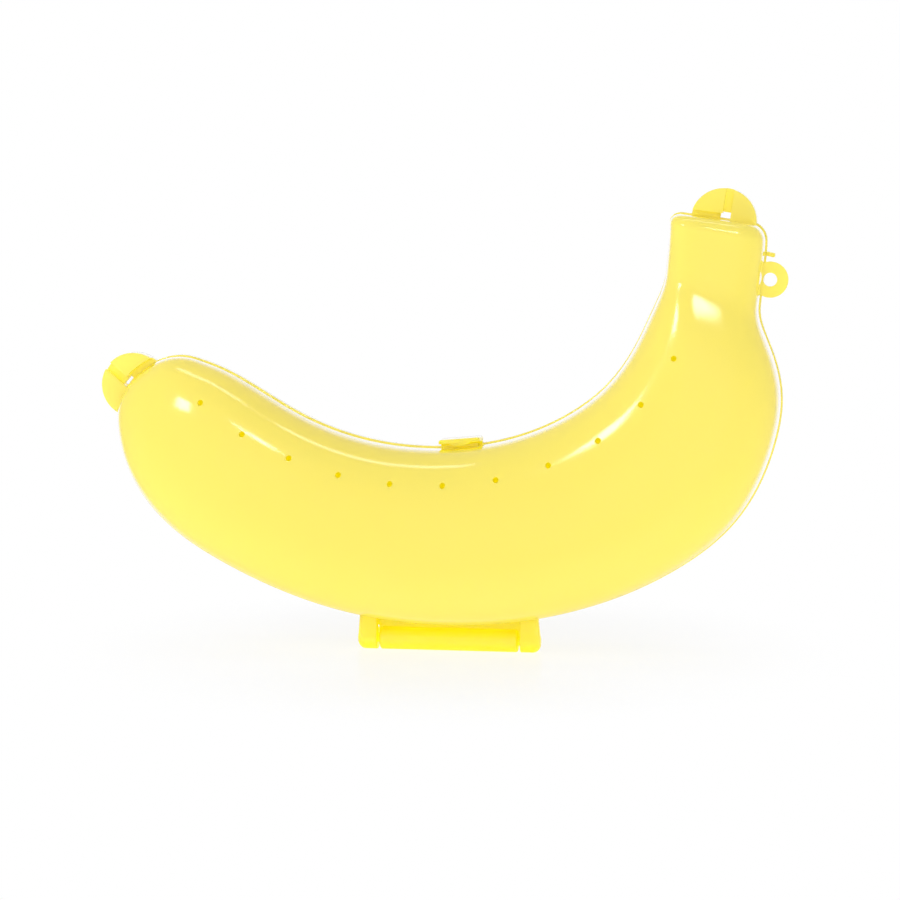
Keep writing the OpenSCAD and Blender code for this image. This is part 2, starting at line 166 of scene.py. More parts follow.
class TabSizes(bpy.types.PropertyGroup):
    """The finger tabs at the two ends, the latch and the lanyard ring."""

    radius: length("Tab radius", "Radius of the finger tabs", 9.2)
    layer: length("Layer", "Thickness of each layer of a tab", 2.2)
    stem_inset: length("Stem tab inset", "How far the stem tab's centre lies inside the stem's end", 0.5)
    stem_shift: length("Stem tab shift", "Offset of the stem tab's centre toward the outer bend", 1.7)
    tip_inset: length("Tip tab inset", "How far the tip tab's centre lies inside the tip's end", 1.9)
    tip_shift: length("Tip tab shift", "Offset of the tip tab's centre toward the outer bend", 5.4)
    tip_lean: angle("Tip tab lean", "Lean of the tip tab toward the outer bend", 14)
    slit: length("Slit", "Width of the slit between the two quarters of a tab", 2.3)
    slit_shift: length("Slit shift", "Offset of the slit toward the outer bend", 0.6)
    groove: length("Groove", "Width of the groove between the back half's quarter and the case", 1.7)
    slot: length("Slot", "Length of the slot at the foot of the slit", 2.9)
    latch_angle: angle("Latch", "Angle of the latch around the bend", 9.3)
    latch_lean: angle("Latch lean", "Lean of the latch back toward level", 4.2)
    tongue_w: length("Tongue width", "Width of the latch tongue", 11.8)
    tongue_h: length("Tongue height", "Height of the tongue's top over the rim", 2.6)
    tongue_t: length("Tongue bridge", "Thickness of the tongue's bridge", 1.2)
    tongue_round: length("Tongue corners", "Radius of the tongue's top corners", 0.7)
    nose_w: length("Nose width", "Width of the hook's nose", 2.4)
    root_w: length("Hook root", "Width of the hook where it leaves the bridge", 6.6)
    hook_t: length("Hook", "Thickness of the hook", 1.2)
    catch_w: length("Catch width", "Width of the catch on the front half", 10)
    catch_h: length("Catch height", "Height of the catch over the rim", 1)
    latch_gap: length("Latch clearance", "Clearance between the hook and the catch", 0.3)
    ring_angle: angle("Ring", "Angle of the lanyard ring around the bend", 74)
    ring_r: length("Ring radius", "Outer radius of the ring", 5)
    ring_hole_r: length("Ring hole", "Radius of the ring's hole", 1.9)
    ring_wall: length("Ring wall", "Wall left between the hole and the case", 0.4)
    peg_angle: angle("Peg", "Angle of the short peg above the ring", 77.7)
    peg_len: length("Peg length", "Length of the peg out from the rim bead", 2.4)
    peg_t: length("Peg thickness", "Thickness of the peg along the bend", 1.2)
    edge: length("Edge rounding", "Radius of the moulded edges", 0.3)


class StudioSettings(bpy.types.PropertyGroup):
    """Plastic, floor, lights and camera."""

    plastic: colour("Plastic", "Colour of the moulded plastic", (0.97, 0.905, 0.225))
    plastic_flow: colour("Flow marks", "Colour where the plastic flowed together", (0.97, 0.895, 0.2))
    # Painted shade: this deep colour is mixed into the plastic where ambient occlusion finds other plastic
    # near, in corners and recesses; it is also the colour of the thick plastic's painted glow
    painted_corner_colour: colour("Deep plastic", "Colour in corners, where light has passed through plastic",
                         (1.0, 0.87, 0.03))
    plastic_solid: colour("Solid plastic", "Colour of the thick hinge knuckles and the latch",
                          (0.985, 0.91, 0.27))
    solid_flow: colour("Solid flow marks", "Flow marks in the thick plastic", (0.985, 0.9, 0.23))
    glow: colour("Glow", "Colour of the light that passes through a wall", (1.0, 0.95, 0.07))
    wall_pass: factor("Wall glow", "Share of the light that passes through a wall", 0.4)
    solid_pass: factor("Solid glow", "The same share for the thick plastic", 0.45)
    # Painted light: strength of the emission that makes the thick plastic glow in its recesses
    painted_recess_glow: factor("Recess light", "Light that thick plastic passes on into its recesses", 0.2)
    # Reach of the ambient occlusion that places the painted shade in corners
    painted_shade_reach: length("Corner reach", "How near other plastic has to be to deepen the colour", 10)
    floor: colour("Floor", "Colour of the pale floor", (0.94, 0.94, 0.94))
    floor_r: length("Floor radius", "Radius of the pale floor", 220)
    floor_near: length("Fade start", "Distance from the middle at which the floor starts to fade", 30)
    floor_far: length("Fade end", "Distance at which the floor is gone", 120)
    floor_alpha: factor("Floor strength", "How much of the floor shows in the middle", 0.22)
    sky: factor("Sky", "Strength of the light from all around", 0.3)
    camera_azimuth: angle("Azimuth", "Camera's angle to the right of the front", 9.2)
    camera_elevation: angle("Elevation", "Camera's angle above the horizon", 5.5)
    camera_distance: length("Distance", "Camera's distance from the point it looks at", 900)
    camera_height: length("Height", "Height of the point that the camera looks at", 65)
    lens: factor("Lens", "Focal length in millimetres", 127.4)
    sensor: factor("Sensor", "Width of the camera's sensor in millimetres", 36)
    shift_x: factor("Shift X", "Shift of the picture to the side", 0.0006)
    shift_y: factor("Shift Y", "Shift of the picture upward", -0.0307)


def settings():
    """The scene's four groups of settings."""
    scene = bpy.context.scene
    return scene.case_shell, scene.case_hinge, scene.case_tabs, scene.case_studio


# The bend: every section lies at an angle around one centre, 0 straight down, positive toward the stem

# The station and the column in which the ramp of the depth meets the stem in a crease
NECK = 4
DEPTH = 2


def stations():
    """Angle, bend radius, half width, half depth and exponent of each named section."""
    s = settings()[0]
    squares = [s.body_square] * NECK + [(s.body_square + s.stem_square) / 2, s.stem_square]
    return np.array([
        [getattr(s, f"{part}_angle"), getattr(s, f"{part}_r"), getattr(s, f"{part}_w") / 2,
         getattr(s, f"{part}_d") / 2, square] for part, square in zip(SECTIONS, squares)
    ])


def through_stations(angles):
    """Smooth curves through the sections, never past them: radius, half width, half depth, exponent."""
    table = stations()
    knots, values = table[:, 0], table[:, 1:]
    runs = np.diff(knots)
    rises = np.diff(values, axis=0) / runs[:, None]
    before, after = rises[:-1], rises[1:]
    same_way = before * after > 0
    middle = np.where(same_way, 2 * before * after / np.where(same_way, before + after, 1), 0)
    slopes = np.vstack([np.zeros_like(rises[:1]), middle, rises[-1:]])
    leaving, arriving = slopes[:-1].copy(), slopes[1:].copy()
    leaving[NECK, DEPTH], arriving[NECK - 1, DEPTH] = rises[NECK, DEPTH], rises[NECK - 1, DEPTH]
    k = np.clip(np.searchsorted(knots, angles, side="right") - 1, 0, len(runs) - 1)
    t = np.clip((angles - knots[k]) / runs[k], 0, 1)[:, None]
    run = runs[k][:, None]
    return ((1 + 2 * t) * (1 - t) ** 2 * values[k] + t * (1 - t) ** 2 * run * leaving[k]
            + t ** 2 * (3 - 2 * t) * values[k + 1] - t ** 2 * (1 - t) * run * arriving[k])


def tip_fullness(reach):
    """The tip's width as a share of the shoulder's. Reach is 0 at the shoulder and 1 at the tip's end."""
    square = settings()[0].tip_square
    return (1 - reach ** square) ** (1 / square)


# Samples that the sections are melted from, and the room that melting needs at the ends, in blends
BLEND_SAMPLES = 1200
BLEND_ROOM = 3


def sections(angles):
    """The sections with the rounded tip worked in, each melted a little into its neighbours."""
    s = settings()[0]

    def exact(at):
        rows = through_stations(at)
        reach = np.clip((s.shoulder_angle - at) / (s.shoulder_angle - s.tip_angle), 0, 1)
        rows[:, 0] += (s.tip_r - s.shoulder_r) * reach ** 2
        rows[:, 1:3] *= tip_fullness(reach)[:, None]
        return rows

    angles = np.asarray(angles, float)
    samples = np.linspace(s.tip_angle, s.stem_angle, BLEND_SAMPLES)
    near_neck = np.exp(-((angles - s.neck_angle) / s.crease_reach) ** 2)
    blend = s.blend + (s.crease - s.blend) * near_neck
    weight = np.exp(-((samples[None, :] - angles[:, None]) / blend[:, None]) ** 2 / 2)
    melted = weight @ exact(samples) / weight.sum(1)[:, None]
    room = np.minimum(angles - s.tip_angle, s.stem_angle - angles) / (BLEND_ROOM * s.blend)
    share = np.clip(room, 0, 1)[:, None]
    share = share * share * (3 - 2 * share)
    return exact(angles) * (1 - share) + melted * share


def rims(turn):
    """Bend radii of the rim on the inner and on the outer bend, at an angle."""
    row = through_stations(np.array([turn]))[0]
    return row[0] - row[1], row[0] + row[1]


def bend_centre():
    """X and Z of the bend's centre, from the hinge axis."""
    hinge = settings()[1]
    drop = rims(hinge.angle)[1] + hinge.drop
    x, _, z = HINGE["pos_m"]
    return x - drop * math.sin(hinge.angle), z + drop * math.cos(hinge.angle)


def bend_points(angles, radii, y):
    """Points at angles and radii of the bend, y behind the seam."""
    x0, z0 = bend_centre()
    angles, radii, y = np.broadcast_arrays(angles, radii, y)
    return np.stack([x0 + radii * np.sin(angles), y, z0 - radii * np.cos(angles)], -1)


def at_bend(turn, radius):
    """A feature's own frame: +X along the bend toward the stem, +Z toward the bend's centre."""
    x0, z0 = bend_centre()
    return (Matrix.Translation((x0, 0, z0)) @ Matrix.Rotation(-turn, 4, "Y")
            @ Matrix.Translation((0, 0, -radius)))


# Rings along the tip, the body and the stem's rounded end, and rows over half a section
TIP_RINGS = 40
BODY_RINGS = 170
END_RINGS = 12
HALF_ROWS = 40


def rings(grow=0.0):
    """The rings of the case grown by a distance: angle, bend radius, half width, half depth, exponent."""
    s = settings()[0]
    tip_run = s.shoulder_angle - s.tip_angle
    b = np.linspace(0, math.pi / 2, TIP_RINGS, endpoint=False)
    tip = sections(s.shoulder_angle - tip_run * np.cos(b))
    tip[:, 1:3] += grow * tip_fullness(np.cos(b))[:, None]
    tip_angles = s.shoulder_angle - (tip_run + grow / s.shoulder_r) * np.cos(b)
    body_angles = np.linspace(s.shoulder_angle, s.stem_angle - s.stem_round / s.stem_r, BODY_RINGS)
    body = sections(body_angles)
    body[:, 1:3] += grow
    b = np.linspace(0, math.pi / 2, END_RINGS + 1)[1:]
    inset = (s.stem_round + grow) * (1 - np.cos(b))
    end_angles = s.stem_angle + (grow - (s.stem_round + grow) * (1 - np.sin(b))) / s.stem_r
    end = sections(np.minimum(end_angles, s.stem_angle))
    end[:, 1:3] += (grow - inset)[:, None]
    angles = np.concatenate([tip_angles, body_angles, end_angles])
    return np.column_stack([angles, np.vstack([tip, body, end])])


def surface_depth(angles, radii, grow):
    """How far the case's surface, grown by a distance, stands off the seam at points of the bend."""
    s = settings()[0]
    tip_run = s.shoulder_angle - s.tip_angle
    reach = np.clip((s.shoulder_angle - angles) / (tip_run + grow / s.shoulder_r), 0, 1)
    rows = sections(np.where(reach > 0, s.shoulder_angle - tip_run * reach, angles))
    rows[:, 1:3] += (grow * tip_fullness(reach))[:, None]
    across = np.abs(radii - rows[:, 0]) / rows[:, 1]
    return rows[:, 2] * np.clip(1 - across ** rows[:, 3], 0, 1) ** (1 / rows[:, 3])


# Mesh helpers

# Steps around a disc, a knuckle and a bore, and along a corner, an ear's corner and the bead's round
DISC_STEPS, KNUCKLE_STEPS, BORE_STEPS = 96, 72, 40
CORNER_STEPS, EAR_STEPS, BEAD_STEPS = 9, 7, 6

# Points nearer than this are one: in a new mesh, in one about to be softened and in a finished piece
MERGE_NEW, MERGE_SOFT, MERGE_DONE = 1e-7, 2e-6, 1e-6

# Faces that lie this flat are one, edges above the second angle are softened, above the third shade sharp
FLAT, SOFTENED, SHARP = math.radians(0.5), math.radians(38), math.radians(32)


def quarter_turn(steps):
    """Angles from 0 to a right angle."""
    return np.linspace(0, math.pi / 2, steps)


def full_turn(steps):
    """Angles all the way round, the last one step before the first."""
    return np.linspace(0, 2 * math.pi, steps, endpoint=False)


def new_piece(name, points, faces, hollow=None):
    """A mesh object from points and faces, normals outward. Hollow marks the points of an inner face."""
    mesh = bpy.data.meshes.new(name)
    mesh.from_pydata([tuple(p) for p in points], [], [tuple(f) for f in faces])
    if hollow is not None:
        mesh.attributes.new("hollow", "FLOAT", "POINT").data.foreach_set("value", hollow)
    piece = bpy.data.objects.new(name, mesh)
    bpy.context.scene.collection.objects.link(piece)
    tidy_mesh(piece)
    return piece


def tidy_mesh(piece, merge=MERGE_NEW, flat=None):
    """Joins points that coincide, and flat neighbours if asked, closes holes and turns all faces outward."""
    bm = bmesh.new()
    bm.from_mesh(piece.data)
    bmesh.ops.remove_doubles(bm, verts=bm.verts, dist=merge)
    bmesh.ops.dissolve_degenerate(bm, edges=bm.edges, dist=merge)
    if flat is not None:
        bmesh.ops.dissolve_limit(bm, angle_limit=flat, verts=bm.verts, edges=bm.edges)
    bmesh.ops.holes_fill(bm, edges=[e for e in bm.edges if len(e.link_faces) == 1], sides=0)
    bmesh.ops.recalc_face_normals(bm, faces=bm.faces)
    bm.to_mesh(piece.data)
    bm.free()


def apply_modifiers(piece):
    """Makes the modifiers' result the piece's own mesh."""
    result = bpy.data.meshes.new_from_object(piece.evaluated_get(bpy.context.evaluated_depsgraph_get()))
    piece.modifiers.clear()
    old, piece.data = piece.data, result
    result.name = piece.name
    bpy.data.meshes.remove(old)


def combine(piece, other, operation):
    """Unites a piece with another, cuts the other from it or keeps what they share. The other is used up."""
    step = piece.modifiers.new("combine", "BOOLEAN")
    step.operation = operation
    step.solver = "EXACT"
    step.object = other
    apply_modifiers(piece)
    bpy.data.objects.remove(other)
    if not piece.data.polygons:
        raise RuntimeError(f"{piece.name} is empty after {operation}")
    return piece


def soften(piece, width, segments=3):
    """Rounds a piece's moulded edges."""
    tidy_mesh(piece, MERGE_SOFT, FLAT)
    step = piece.modifiers.new("soften", "BEVEL")
    step.width = width
    step.segments = segments
    step.limit_method = "ANGLE"
    step.angle_limit = SOFTENED
    step.use_clamp_overlap = True
    apply_modifiers(piece)
    return piece


def prism(name, outline, low, high, place=Matrix.Identity(4)):
    """An outline in the X-Z plane, as pairs, drawn out along Y between two depths."""
    count = len(outline)
    points = [place @ Vector((x, y, z)) for y in (low, high) for x, z in outline]
    sides = [(i, (i + 1) % count, count + (i + 1) % count, count + i) for i in range(count)]
    return new_piece(name, points, [range(count), range(count, 2 * count), *sides])


def block(name, low, high, place=Matrix.Identity(4)):
    """A block given by its two corners."""
    outline = [(low[0], low[2]), (high[0], low[2]), (high[0], high[2]), (low[0], high[2])]
    return prism(name, outline, low[1], high[1], place)


def disc(name, radius, low, high, place):
    """A disc in the X-Z plane between two depths."""
    turns = full_turn(DISC_STEPS)
    return prism(name, [(radius * math.cos(t), radius * math.sin(t)) for t in turns], low, high, place)


def lathe(name, profile, place, steps=KNUCKLE_STEPS):
    """A closed solid turned about X from pairs of x and radius that start and end on the axis."""
    turns = full_turn(steps)
    points = [place @ Vector((x, r * math.cos(t), r * math.sin(t))) for x, r in profile for t in turns]
    faces = []
    for i in range(len(profile) - 1):
        for j in range(steps):
            k = (j + 1) % steps
            faces.append((i * steps + j, i * steps + k, (i + 1) * steps + k, (i + 1) * steps + j))
    return new_piece(name, points, faces)


def wrapped(name, points):
    """The convex solid around a set of points."""
    bm = bmesh.new()
    for point in points:
        bm.verts.new(point)
    found = bmesh.ops.convex_hull(bm, input=bm.verts)
    spare = found["geom_interior"] + found["geom_unused"]
    inner = {item for item in spare if isinstance(item, bmesh.types.BMVert)}
    bmesh.ops.delete(bm, geom=list(inner), context="VERTS")
    mesh = bpy.data.meshes.new(name)
    bm.to_mesh(mesh)
    bm.free()
    piece = bpy.data.objects.new(name, mesh)
    bpy.context.scene.collection.objects.link(piece)
    tidy_mesh(piece)
    return piece


def rim_space(grow):
    """The room inside the case's outline, grown by a distance and deep enough to cut any feature."""
    s = settings()[0]
    rows = rings(grow)
    inner = bend_points(rows[:, 0], rows[:, 1] - rows[:, 2], 0)
    outer = bend_points(rows[::-1, 0], rows[::-1, 1] + rows[::-1, 2], 0)[:-1]
    outline = [(p[0], p[2]) for p in np.vstack([inner, outer])]
    return prism("rim_space", outline, -s.belly_d, s.belly_d)


def seated(piece, grow=0.0):
    """Cuts a feature off where it meets the rim, grown by a distance, and leaves it a little sunk into it."""
    return combine(piece, rim_space(grow - SEAT), "DIFFERENCE")


def finish_piece(piece, body, *nodes, thick=False):
    """Shades a piece, gives it the plastic, and lets it stand for its solids and ride on their body."""
    tidy_mesh(piece, MERGE_DONE)
    piece.data.materials.clear()
    piece.data.materials.append(plastic(thick))
    piece.data.shade_smooth()
    piece.data.set_sharp_from_angle(angle=SHARP)
    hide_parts(*nodes)
    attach(piece, body)


# The half shells

# The most of a section's half depth that the rim may take up, which keeps it thin where the tip closes
RIM_SHARE = 0.45

# The least half width, half depth or exponent of a section
LEAST = 1e-8


def half_shell(name, rim, side):
    """A half shell whose wall follows the rings. The rim is rows of [grow, y] from outside to inside."""
    s = settings()[0]
    outer, inner = rings(0), rings(-s.wall)
    rim = np.array(rim)

    def across(rows, start):
        """Points over each ring's section, from a depth on the inner bend to the same on the outer bend."""
        w, d, n = (np.maximum(rows[:, k], LEAST) for k in (2, 3, 4))
        y = np.minimum(start, RIM_SHARE * d)
        low = np.arctan2(y, w * (1 - (y / d) ** n) ** (1 / n))
        t = np.linspace(0, 1, 2 * HALF_ROWS)
        a = low[:, None] + (math.pi - 2 * low[:, None]) * t[None, :]
        reach = ((np.abs(np.cos(a)) / w[:, None]) ** n[:, None]
                 + (np.sin(a) / d[:, None]) ** n[:, None]) ** (-1 / n[:, None])
        return bend_points(rows[:, :1], rows[:, 1:2] - reach * np.cos(a), side * reach * np.sin(a))

    def edge(way):
        """The rim's rows on the inner bend (-1) or the outer bend (1)."""
        columns = []
        for grow, y in rim:
            rows = rings(grow)
            room = np.minimum(1, RIM_SHARE * outer[:, 3] / np.abs(rim[:, 1]).max())
            columns.append(bend_points(rows[:, 0], rows[:, 1] + way * rows[:, 2], side * y * room))
        return np.stack(columns, 1)

    outside = across(outer, rim[0, 1] + s.edge)
    inside = across(inner, max(rim[-1, 1], 0) + s.edge)
    loops = np.concatenate([
        outside[:, HALF_ROWS - 1::-1], edge(-1), inside, edge(1)[:, ::-1], outside[:, :HALF_ROWS - 1:-1],
    ], 1)
    count, around = loops.shape[:2]
    i, a = np.meshgrid(np.arange(count - 1), np.arange(around), indexing="ij")
    b = (a + 1) % around
    skin = np.stack([i * around + a, i * around + b, (i + 1) * around + b, (i + 1) * around + a], -1)
    first = (count - 1) * around
    a = np.arange(around // 2 - 1)
    cap = first + np.stack([a, around - 1 - a, around - 2 - a, a + 1], -1)
    faces = np.vstack([skin.reshape(-1, 4), cap])
    lip = (rim[:, 0] <= -s.lap_t).astype(float)
    shine = np.zeros(HALF_ROWS)
    hollow = np.concatenate([shine, lip, np.ones(2 * HALF_ROWS), lip[::-1], shine])
    return new_piece(name, loops.reshape(-1, 3), faces.tolist(), np.tile(hollow, count))


# Steps around a vent, and the radius of wall that is opened for it, in radii of the hole
VENT_STEPS = 32
VENT_CLEAR = 2.2


def cut_vent(bm, faces, centres, turn, radius, side):
    """Opens one round hole through the wall along Y, with rounded edges on both faces of the wall."""
    s = settings()[0]
    x0, z0 = bend_centre()
    axis = bend_points(turn, radius, 0.0)
    hole_r = s.vent_d / 2
    clear_r = VENT_CLEAR * hole_r
    turns = full_turn(VENT_STEPS)

    def depth_at(x, z, grow):
        return surface_depth(np.arctan2(x - x0, z0 - z), np.hypot(x - x0, z0 - z), grow)

    def circle(r, grow, sink):
        x, z = axis[0] + r * np.cos(turns), axis[2] + r * np.sin(turns)
        depth = depth_at(x, z, grow) + sink
        return [bm.verts.new((px, side * d, pz)) for px, d, pz in zip(x, depth, z)]

    def strip(a, b):
        for k in range(len(a)):
            n = (k + 1) % len(a)
            bm.faces.new((a[k], a[n], b[n], b[k]))

    near = np.flatnonzero(np.hypot(centres[:, 0] - axis[0], centres[:, 2] - axis[2]) < clear_r)
    half_wall = depth_at(centres[near, 0], centres[near, 2], 0) - s.wall / 2
    is_outside = side * centres[near, 1] > half_wall
    mouths = []
    for outside, grow, way in ((True, 0, -1), (False, -s.wall, 1)):
        patch = {faces[k] for k in near[is_outside == outside]}
        rim = {e for f in patch for e in f.edges if sum(g in patch for g in e.link_faces) == 1}
        bmesh.ops.delete(bm, geom=list(patch), context="FACES")
        lip = circle(hole_r + s.vent_edge, grow, 0)
        bore = circle(hole_r, grow, way * s.vent_edge)
        ring = [bm.edges.new((lip[k], lip[(k + 1) % len(lip)])) for k in range(len(lip))]
        bmesh.ops.bridge_loops(bm, edges=[*rim, *ring])
        strip(lip, bore)
        mouths.append(bore)
    strip(*mouths)


def vent_places():
    """Angle and radius of each vent around the bend."""
    s = settings()[0]
    run = np.linspace(0, 1, s.vent_count)
    turns = s.vent_first + (s.vent_last - s.vent_first) * run
    rows = through_stations(turns)
    way = 2 * run - 1
    inset = (s.vent_inset + (s.vent_last_inset - s.vent_first_inset) / 2 * way
             + ((s.vent_first_inset + s.vent_last_inset) / 2 - s.vent_inset) * way ** 2)
    return list(zip(turns, rows[:, 0] - rows[:, 1] + inset))


# The bead's slope behind its top, as shares of the bead: height over the wall and depth past its foot.
# Then the radius of its front edge and the chamfer of the front rim's edge, as shares of bead and edge.
BEAD_SLOPE = ((0, 1.5), (0.3, 0.6), (0.75, 0.15), (1, -0.6))
BEAD_ROUND = 0.9
EDGE_CUT = 0.3


class CASE_OT_back_shell(bpy.types.Operator):
    """Model the back half shell with its rim bead and the lip that the front half laps over"""

    bl_idname = "banana_case.back_shell"
    bl_label = "Back Shell"

    def execute(self, context):
        s = settings()[0]
        lip = -s.lap_t - s.lap_gap
        forward = s.lap_gap - s.lap_h
        round_r = BEAD_ROUND * s.bead
        turns = quarter_turn(BEAD_STEPS)
        rim = [
            *([up * s.bead, s.bead_h + past * s.bead] for up, past in BEAD_SLOPE),
            *([s.bead - round_r * (1 - math.cos(t)), round_r * (1 - math.sin(t))] for t in turns),
            [lip, 0], [lip, forward + s.edge], [lip - s.edge, forward], [-s.wall, forward],
        ]
        shell = half_shell("back_shell_moulding", rim, 1)
        finish_piece(shell, "back_half", "back_shell")
        return {"FINISHED"}


class CASE_OT_front_shell(bpy.types.Operator):
    """Model the front half shell with its rebated rim and its row of vent holes"""

    bl_idname = "banana_case.front_shell"
    bl_label = "Front Shell"

    def execute(self, context):
        s = settings()[0]
        rest = s.seam / 2
        cut = EDGE_CUT * s.edge
        rim = [
            [0, rest + s.edge], [-cut, rest + cut], [-s.edge, rest],
            [-s.lap_t, rest], [-s.lap_t, s.lap_h], [-s.wall, s.lap_h],
        ]
        shell = half_shell("front_shell_moulding", rim, -1)
        bm = bmesh.new()
        bm.from_mesh(shell.data)
        faces = list(bm.faces)
        centres = np.array([f.calc_center_median() for f in faces])
        for turn, radius in vent_places():
            cut_vent(bm, faces, centres, turn, radius, -1)
        bmesh.ops.recalc_face_normals(bm, faces=bm.faces)
        bm.to_mesh(shell.data)
        bm.free()
        finish_piece(shell, "front_half", "front_shell")
        return {"FINISHED"}


# The hinge

# Rounding of a trunnion's free end and of its end inside the ear
PIN_ROUND = 0.3 * MM
PIN_ROOT = 0.1 * MM

# The share of a knuckle that its web wraps, a little inside the knuckle's own surface
EAR_WRAP = 0.985


def knuckle_profile(start, length, start_round, end_round, radius):
    """A turned knuckle as pairs of x and radius, with rounded edges at its two ends."""
    turns = quarter_turn(CORNER_STEPS)
    profile = [(start, 0)]
    profile += [(start + start_round * (1 - math.sin(t)), radius - start_round * (1 - math.cos(t)))
                for t in turns[::-1]]
    end = start + length
    profile += [(end - end_round * (1 - math.sin(t)), radius - end_round * (1 - math.cos(t))) for t in turns]
    return profile + [(end, 0)]


def set_on_foot(piece):
    """Flattens what would reach below the foot that the case stands on."""
    for vertex in piece.data.vertices:
        vertex.co.z = max(vertex.co.z, CAD_BOX[0].z)


class CASE_OT_hinge(bpy.types.Operator):
    """Model the hinge: the barrel on the back half and the two ears with trunnions on the front half"""

    bl_idname = "banana_case.hinge"
    bl_label = "Hinge"

    def execute(self, context):
        s, h, tabs, _ = settings()
        axis = Matrix.Translation(HINGE["pos_m"])
        axis_z = HINGE["pos_m"][2]
        top = axis_z + 2 * h.drop
        half = h.barrel / 2

        barrel = lathe("hinge_barrel_moulding",
                       knuckle_profile(-half, h.barrel, h.barrel_round, h.barrel_round, h.radius), axis)
        set_on_foot(barrel)
        flank = half + h.gap - s.seam
        web = block("web", (-flank, 0, axis_z), (flank, tabs.layer, top))
        web_half = half + h.gap + h.web_lap
        web_low = axis_z + h.radius + h.gap / 2
        combine(web, block("upper_web", (-web_half, 0, web_low), (web_half, tabs.layer, top)), "UNION")
        combine(barrel, soften(seated(web, s.bead), h.edge), "UNION")
        bore_r = h.pin_r + h.pin_fit
        start = half + h.gap
        for way in (-1, 1):
            deep, mouth = way * (half - h.pin_length), way * start
            profile = [(deep, 0), (deep, bore_r), (mouth, bore_r), (mouth, 0)]
            combine(barrel, lathe("bore", profile, axis, BORE_STEPS), "DIFFERENCE")
        finish_piece(barrel, "back_half", "hinge_barrel", thick=True)

        centre = Vector(HINGE["pos_m"])
        pin_profile = knuckle_profile(start - h.pin_length, h.pin_length + h.ear / 2, PIN_ROUND, PIN_ROOT,
                                      h.pin_r)
        corner = h.barrel_round / 2
        front, out = -s.seam - tabs.layer, start + h.ear - h.barrel_round
        turns = quarter_turn(EAR_STEPS)
        outline = [(start + corner - corner * math.cos(t), front + corner - corner * math.sin(t))
                   for t in turns]
        outline += [(out - h.barrel_round * (1 - math.sin(t)), front + h.barrel_round * (1 - math.cos(t)))
                    for t in turns]
        outline += [(start, -s.seam), (out, -s.seam)]
        for way, side in ((-1, "left"), (1, "right")):
            mirror = axis @ Matrix.Diagonal((way, 1, 1, 1))
            ear = lathe(f"hinge_ear_{side}_moulding",
                        knuckle_profile(start, h.ear, h.barrel_round / 2, h.ear_round, h.radius), mirror)
            set_on_foot(ear)
            pin = lathe("pin", pin_profile, mirror, BORE_STEPS)
            core = centre + Vector((way * (start + h.ear / 2), 0, 0))
            low = [core + EAR_WRAP * (v.co - core) for v in ear.data.vertices if v.co.y < -s.seam]
            low += [Vector((p.x, -s.seam, p.z)) for p in low if p.z > axis_z]
            web = wrapped("web", low + [Vector((centre.x + way * x, y, top)) for x, y in outline])
            combine(ear, seated(web), "UNION")
            combine(ear, pin, "UNION")
            finish_piece(ear, "front_half", f"hinge_ear_{side}", thick=True)
        return {"FINISHED"}


# The finger tabs

def tab_places():
    """The frames of the two finger tabs: +X points out of the end, +Z toward the inner bend."""
    s, _, tabs, _ = settings()
    tip = (at_bend(s.tip_angle + tabs.tip_inset / s.shoulder_r, s.tip_r + tabs.tip_shift)
           @ Matrix.Diagonal((-1, 1, 1, 1)) @ Matrix.Rotation(tabs.tip_lean, 4, "Y"))
    stem = at_bend(s.stem_angle - tabs.stem_inset / s.stem_r, s.stem_r + tabs.stem_shift)
    return {"tip": tip, "stem": stem}


class CASE_OT_finger_tabs(bpy.types.Operator):
    """Model the finger tabs: a plate with a raised quarter on the back half, a quarter on the front half"""

    bl_idname = "banana_case.finger_tabs"
    bl_label = "Finger Tabs"

    def execute(self, context):
        s, _, tabs, _ = settings()
        far = 3 * tabs.radius
        front = -s.seam - tabs.layer
        slit_low = -tabs.slit_shift - tabs.slit / 2
        slit_high = slit_low + tabs.slit
        slot_x = tabs.stem_inset + s.bead
        for end, place in tab_places().items():
            plate = disc(f"back_{end}_tab_moulding", tabs.radius, 0, tabs.layer, place)
            slot = block("slot", (slot_x, -far, slit_low),
                         (slot_x + tabs.groove, far, slit_low + tabs.slot), place)
            combine(plate, slot, "DIFFERENCE")
            seated(plate, s.bead)
            quarter = disc("quarter", tabs.radius, front, tabs.layer / 2, place)
            combine(quarter, block("upper", (-far, -far, slit_high), (far, far, far), place), "INTERSECT")
            combine(quarter, rim_space(tabs.groove), "DIFFERENCE")
            combine(plate, quarter, "UNION")
            finish_piece(soften(plate, tabs.edge), "back_half", f"back_{end}_tab")

            quarter = disc(f"front_{end}_tab_moulding", tabs.radius, front, -s.seam, place)
            combine(quarter, block("lower", (-far, -far, -far), (far, far, slit_low), place), "INTERSECT")
            seated(quarter)
            finish_piece(soften(quarter, tabs.edge), "front_half", f"front_{end}_tab")
        return {"FINISHED"}


# The latch, the ring and the peg

# Rounding of the latch's edges and of the ring's, as shares of the other edges, and steps along the ring's
LATCH_EDGE = 0.6
RING_EDGE = 2
RING_STEPS = 5


def tongue_slab(name, low, front, back, place):
    """A slab of the tongue with rounded top corners, from a height to the top and between two depths."""
    tabs = settings()[2]
    corner_x = tabs.tongue_w / 2 - tabs.tongue_round
    corner_z = tabs.tongue_h - tabs.tongue_round
    right = [(corner_x + tabs.tongue_round * math.cos(t), corner_z + tabs.tongue_round * math.sin(t))
             for t in quarter_turn(CORNER_STEPS)]
    left = [(-x, z) for x, z in right[::-1]]
    outline = [(-tabs.tongue_w / 2, low), (tabs.tongue_w / 2, low), *right, *left]
    return prism(name, outline, front, back, place)


